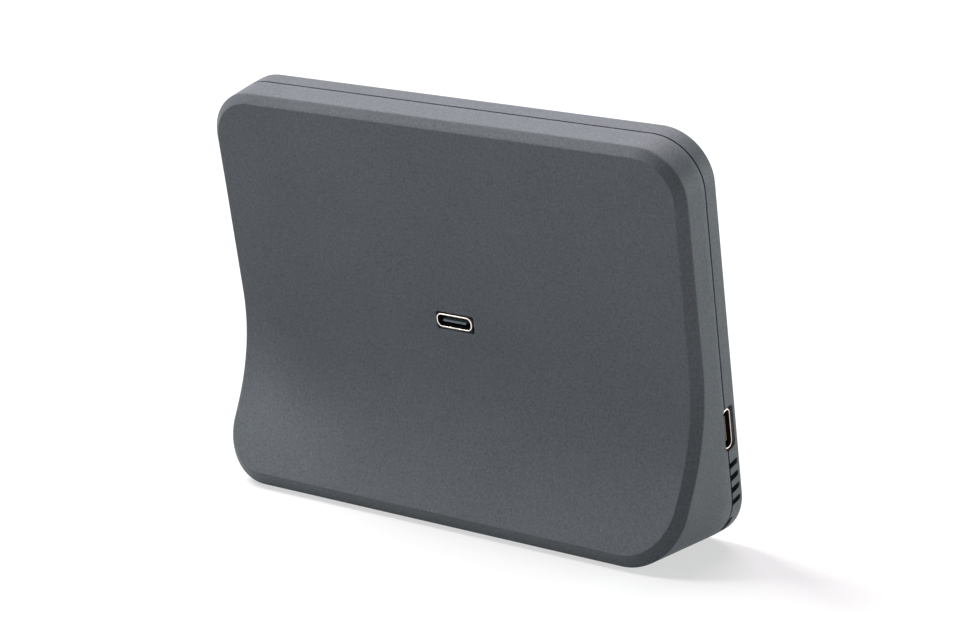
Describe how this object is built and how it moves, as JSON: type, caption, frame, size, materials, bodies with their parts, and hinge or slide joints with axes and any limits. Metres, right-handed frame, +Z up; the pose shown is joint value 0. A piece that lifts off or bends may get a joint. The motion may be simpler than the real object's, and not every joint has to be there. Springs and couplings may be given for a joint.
{
  "type": "programmable thermostat",
  "caption": "Desk-standing heating controller with a leaning glass display, a charcoal two-shell housing with a scooped, bevelled back, a rear port, a side port and air slots.",
  "frame": {"origin": "centre of the footprint, on the surface that the object stands on", "axes": "+Z up, +X across the width, -Y the way the display faces"},
  "size_m": [0.1176, 0.0366, 0.0911],
  "materials": {
    "charcoal_plastic": "fine matte texture",
    "front_glass": "polished, dark border",
    "black_tape": "matte",
    "clear_bond": "clear",
    "display_black": "polished",
    "white_sheet": "matte",
    "clear_acrylic": "clear",
    "pressed_steel": "pressed sheet",
    "plated_steel": "nickel plated",
    "amber_film": "smooth film",
    "cream_plastic": "moulded",
    "green_board": "lacquered",
    "black_resin": "moulded",
    "grey_ferrite": "pressed ferrite",
    "tan_ceramic": "fired ceramic",
    "tongue_grey": "moulded",
    "gold_contact": "gold plated",
    "foot_rubber": "matte"
  },
  "bodies": {
    "root": {"rear_shell": "charcoal_plastic", "front_shell": "charcoal_plastic", "cover_glass": "front_glass", "glass_tape": "black_tape", "display_bond": "clear_bond", "display_cell": "display_black", "display_diffuser": "white_sheet", "display_light_guide": "clear_acrylic", "backlight_tray": "pressed_steel", "display_tail": "amber_film", "display_socket": "cream_plastic", "touch_tail": "amber_film", "touch_socket": "cream_plastic", "main_board": "green_board", "board_screws": "plated_steel", "processor_part": "black_resin", "memory_part": "black_resin", "power_part": "black_resin", "coil_part": "grey_ferrite", "capacitors": "tan_ceramic", "radio_board": "green_board", "radio_shield": "pressed_steel", "buzzer": "black_resin", "cell_holder": "black_resin", "coin_cell": "pressed_steel", "sensor_board": "green_board", "sensor_chip": "black_resin", "sensor_link": "amber_film", "rear_port_shell": "plated_steel", "rear_port_tongue": "tongue_grey", "rear_port_contacts": "gold_contact", "side_port_shell": "plated_steel", "side_port_tongue": "tongue_grey", "side_port_contacts": "gold_contact", "foot_strip_front": "foot_rubber", "foot_strip_rear": "foot_rubber"}
  },
  "joints": []
}
